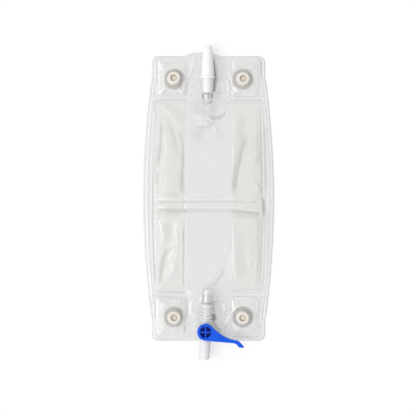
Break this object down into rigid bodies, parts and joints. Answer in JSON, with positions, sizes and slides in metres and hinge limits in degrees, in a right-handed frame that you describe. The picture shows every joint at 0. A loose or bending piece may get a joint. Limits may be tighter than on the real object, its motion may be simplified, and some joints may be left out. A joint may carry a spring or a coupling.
{
  "type": "urine drainage leg bag",
  "caption": "Flat clear film leg bag with a capped catheter inlet, a lever drain valve with a soft nozzle, and strap buttons at its corners.",
  "frame": {"origin": "middle of the whole bag's box, on the surface that it lies on", "axes": "+Y from the drain to the inlet, +Z out of the front sheet, +X to the right"},
  "size_m": [0.1304, 0.3102, 0.0173],
  "materials": {
    "clear_film": "thin clear film, glossy, slightly hazy",
    "clear_tube": "clear soft tube",
    "white_plastic": "moulded, satin gloss",
    "milky_plastic": "moulded, half clear",
    "soft_white_vinyl": "soft vinyl, slightly see-through",
    "cream_plastic": "moulded, satin",
    "blue_plastic": "moulded, satin"
  },
  "bodies": {
    "bag": {"back_sheet": "clear_film", "front_sheet": "clear_film", "anti_reflux_valve": "clear_film", "inlet_stub": "clear_tube", "outlet_stub": "clear_tube", "inlet_connector": "white_plastic", "valve_body": "milky_plastic", "drain_nozzle": "soft_white_vinyl", "strap_button_top_left": "cream_plastic", "strap_button_top_right": "cream_plastic", "strap_button_bottom_left": "cream_plastic", "strap_button_bottom_right": "cream_plastic"},
    "cap": {"inlet_cap": "white_plastic"},
    "lever": {"valve_lever": "blue_plastic"}
  },
  "joints": [
    {"name": "lever_turn", "type": "hinge", "parent": "bag", "child": "lever", "pos_m": [-0.00279, -0.12734, 0.0084], "axis": [0, 0, 1], "range_deg": [-90, 0]},
    {"name": "cap_pull", "type": "slide", "parent": "bag", "child": "cap", "axis": [0, 1, 0], "range_m": [0, 0.03]}
  ]
}
